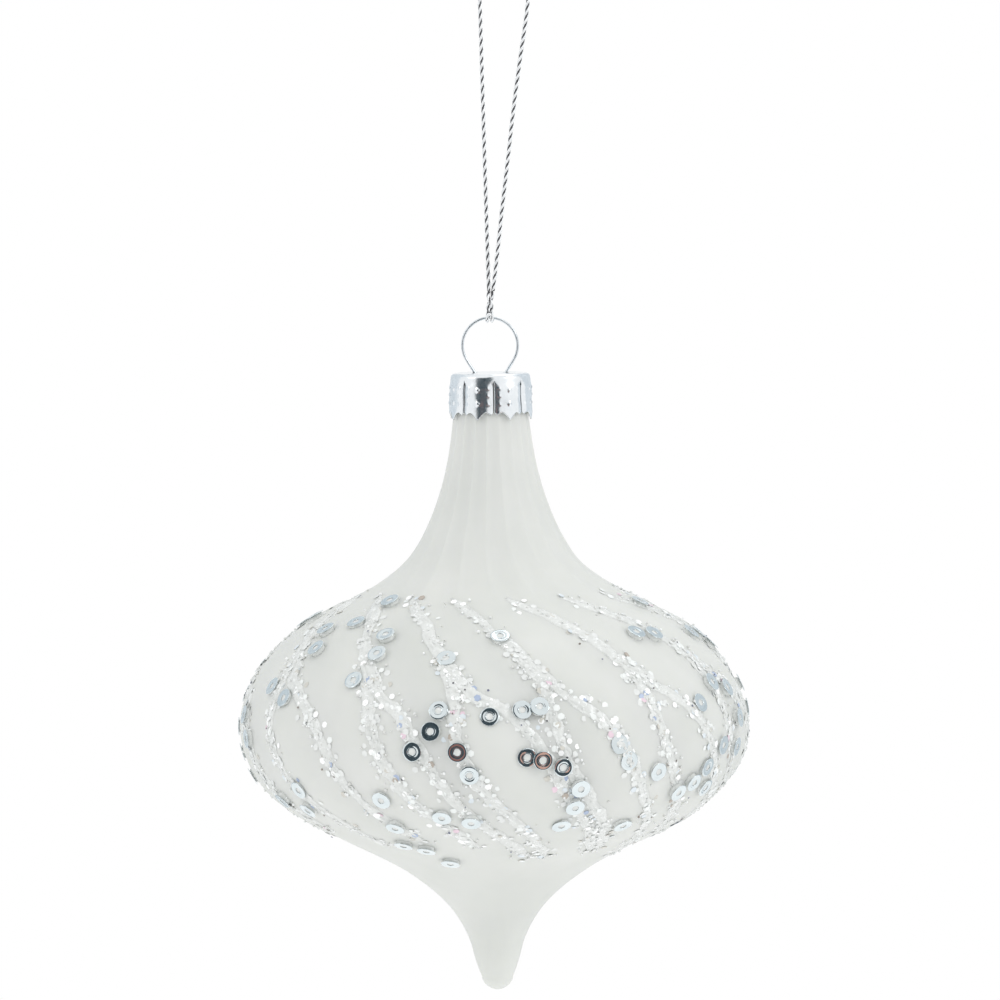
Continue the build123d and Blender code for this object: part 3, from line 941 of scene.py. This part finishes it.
def build_band(number):
    """One glitter line and its branches: glue, flakes, beads and dark specks."""
    name = f"glitter_band_{number:02d}"
    heap = Heap()
    for index, (centre, normal) in enumerate(sequin_places(number)):
        add_pad(heap, centre, normal, number * 20 + index)
    lines = [line_of(points) for points in islands(name)]
    (top, bottom, trunk), (_, branch_bottom, branch) = lines
    start, branch = forked(trunk, branch)
    top, trunk = swept_start(top, trunk)
    lines = [(top, bottom, trunk), (start, branch_bottom, branch)]
    for index, (top, bottom, azimuth_at) in enumerate(lines):
        add_crust(heap, top, bottom, azimuth_at, number * 10 + index)
        length = (bottom - top) * LINE_SLANT / MM
        for _ in range(int(length * FLAKES_PER_MM)):
            depth = random.uniform(top, bottom)
            across = max(min(random.gauss(0, 1.15), 2.4), -2.4) * MM
            lift = (0.03 + random.uniform(0.06, 0.30) * max(1 - abs(across) / (2.2 * MM), 0)) * MM
            centre, normal = crust_point(azimuth_at, depth, across, lift)
            radius = random.uniform(0.46, 0.70) * MM
            flake = hexagon(centre, leaning(normal, 11), radius, 0.03 * MM)
            # Some flakes come out pure white, which is painted sparkle.
            heap.add(*flake, FLAKE_SLOT, pick_tint_or_painted_sparkle())
        for _ in range(int(length * BEADS_PER_MM)):
            depth = random.uniform(top, bottom)
            across = max(min(random.gauss(0, 1.2), 2.6), -2.6) * MM
            radius = random.uniform(0.13, 0.30) * MM
            centre, _ = crust_point(azimuth_at, depth, across, random.uniform(0.05, 0.35) * MM)
            tint = random.choice([(0.78, 0.80, 0.79), (0.92, 0.94, 0.94), (0.74, 0.75, 0.73)])
            heap.add([centre + v * radius for v in BALL_VERTS], BALL_FACES, BEAD_SLOT, tint)
        for _ in range(int(length * SPECKS_PER_MM)):
            depth = random.uniform(top, bottom)
            across = random.gauss(0, 1.5) * MM
            centre, normal = crust_point(azimuth_at, depth, across, random.uniform(0.05, 0.5) * MM)
            radius = random.uniform(0.12, 0.26) * MM
            tint = random.choice([(0.13, 0.13, 0.15), (0.30, 0.26, 0.23), (0.20, 0.22, 0.30)])
            heap.add(*hexagon(centre, leaning(normal, 30), radius, 0.06 * MM), SPECK_SLOT, tint)
    piece = heap.piece(f"glitter_line_{number:02d}", [GLUE, FLAKE, BEAD, SPECK])
    for polygon in piece.data.polygons:
        if polygon.material_index in (FLAKE_SLOT, SPECK_SLOT):
            polygon.use_smooth = False
    return place_piece(piece, name, "ornament")


def build_sequins(number):
    """Ring sequins, each where its CAD solid is: a flat mirror ring with a pressed line near each edge."""
    name = f"sequins_{number:02d}"
    around = 40
    profile = [  # radius and height in millimetres, round the section of the ring
        (0.60, 0.00), (0.61, 0.04), (0.66, 0.07), (0.84, 0.072), (0.89, 0.055), (0.94, 0.072), (1.40, 0.070),
        (1.66, 0.066), (1.73, 0.045), (1.75, 0.0), (1.73, -0.03), (1.05, -0.03), (0.66, -0.03),
    ]
    heap = Heap()
    for centre, normal in sequin_places(number):
        side = normal.orthogonal().normalized()
        other = normal.cross(side)
        verts = []
        for radius, height in profile:
            for k in range(around):
                angle = math.tau * k / around
                verts.append(centre + (side * math.cos(angle) + other * math.sin(angle)) * radius * MM
                             + normal * height * MM)
        rows = len(profile)
        faces = grid_faces(rows, around)
        faces += [((rows - 1) * around + k, (rows - 1) * around + (k + 1) % around, (k + 1) % around, k)
                  for k in range(around)]
        heap.add(verts, faces)
    piece = heap.piece(f"sequin_group_{number:02d}", [SEQUIN])
    turn_faces_outwards(piece)
    return place_piece(piece, name, "ornament")


band_numbers = sorted(int(name[-2:]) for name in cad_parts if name.startswith("glitter_band_"))
for number in band_numbers:
    build_band(number)
    build_sequins(number)


# ---------------------------------------------------------------- studio
STUDIO_MIDDLE = Vector((0, 0, -0.15))
FLOOR_Z = -0.75
FLOOR_R = 2.0


def around_middle(azimuth, elevation, reach):
    """Point at a distance from the studio's middle, with its directions in degrees."""
    turn, rise = math.radians(azimuth), math.radians(elevation)
    return STUDIO_MIDDLE + reach * Vector((
        math.sin(turn) * math.cos(rise), -math.cos(turn) * math.cos(rise), math.sin(rise)))


def matt_paint(name, dark, light, scale):
    """A matt material with a slight change of tone, and its shader."""
    material, tree, shader, add = new_material(name)
    tone = noise_at(tree, add, scale, 2)
    colour = ramp(tree, add, tone.outputs["Fac"], [(0.3, dark), (0.7, light)])
    tree.links.new(colour.outputs["Color"], shader.inputs["Base Color"])
    shader.inputs["Roughness"].default_value = 0.9
    return material, shader


def add_world():
    """White surroundings."""
    world = bpy.data.worlds.new("studio")
    bpy.context.scene.world = world
    world.use_nodes = True
    sky = world.node_tree.nodes["Background"]
    sky.inputs["Color"].default_value = (1, 1, 1, 1)
    sky.inputs["Strength"].default_value = 1.0


def add_floor():
    """A pale disc well below the ornament."""
    material, shader = matt_paint("floor", (0.93, 0.93, 0.93), (0.95, 0.95, 0.95), 6)
    shader.inputs["Emission Color"].default_value = (1, 1, 1, 1)
    shader.inputs["Emission Strength"].default_value = 0.12
    bpy.ops.mesh.primitive_circle_add(
        vertices=96, radius=FLOOR_R, fill_type="NGON", location=(0, 0, FLOOR_Z))
    floor = bpy.context.object
    floor.name = "floor"
    floor.data.materials.append(material)


def add_lamp(name, azimuth, elevation, size, power):
    """A soft light that points at the studio's middle."""
    data = bpy.data.lights.new(name, "AREA")
    data.size = size
    data.energy = power
    lamp = bpy.data.objects.new(name, data)
    lamp.location = around_middle(azimuth, elevation, 1.2)
    lamp.rotation_euler = (STUDIO_MIDDLE - lamp.location).to_track_quat("-Z", "Y").to_euler()
    bpy.context.collection.objects.link(lamp)


def add_card(name, azimuths, elevations, reach, dark, light, keep=lambda azimuth, elevation: True):
    """A curved board that only reflections show, without the squares that keep turns down."""
    step = 1.0  # degrees between its points
    columns = round((azimuths[1] - azimuths[0]) / step) + 1
    rows = round((elevations[1] - elevations[0]) / step) + 1
    verts = [
        around_middle(azimuths[0] + step * column, elevations[0] + step * row, reach)
        for row in range(rows)
        for column in range(columns)
    ]
    faces = []
    for face in grid_faces(rows, columns, closed=False):
        row, column = divmod(face[0], columns)
        if keep(azimuths[0] + step * column, elevations[0] + step * row):
            faces.append(face)
    material, _ = matt_paint(name, dark, light, 4)
    board = new_piece(name, verts, faces, [material])
    board.visible_camera = False
    board.visible_diffuse = False
    board.visible_shadow = False
    board.visible_transmission = False


def dark_shape(azimuth, elevation):
    """The dark card: low on its right side, tall in the middle, a little lower on its left."""
    if azimuth > 5:
        return elevation < -4
    return -27 < elevation < (52 if azimuth > -10 else 36)


bpy.context.scene.view_settings.view_transform = "Standard"
add_world()
add_floor()
add_lamp("left_light", -62, 34, 0.3, 0.9)
add_lamp("right_light", 62, 30, 0.3, 1.8)
add_lamp("top_light", 150, 62, 0.5, 0.8)
add_card("dark_card", (-42, 40), (-36, 52), 0.95, (0.025, 0.04, 0.05), (0.06, 0.085, 0.10), dark_shape)
add_card("brown_card", (18, 25), (-30, -9), 0.93, (0.66, 0.38, 0.31), (0.74, 0.43, 0.35))
add_card("umber_card", (-21, -12), (-13, 2), 0.93, (0.26, 0.12, 0.10), (0.32, 0.15, 0.13))
add_card("left_card", (-170, -100), (-30, 50), 1.3, (0.60, 0.65, 0.69), (0.72, 0.76, 0.79))
add_card("right_card", (100, 170), (-30, 50), 1.3, (0.60, 0.65, 0.69), (0.72, 0.76, 0.79))
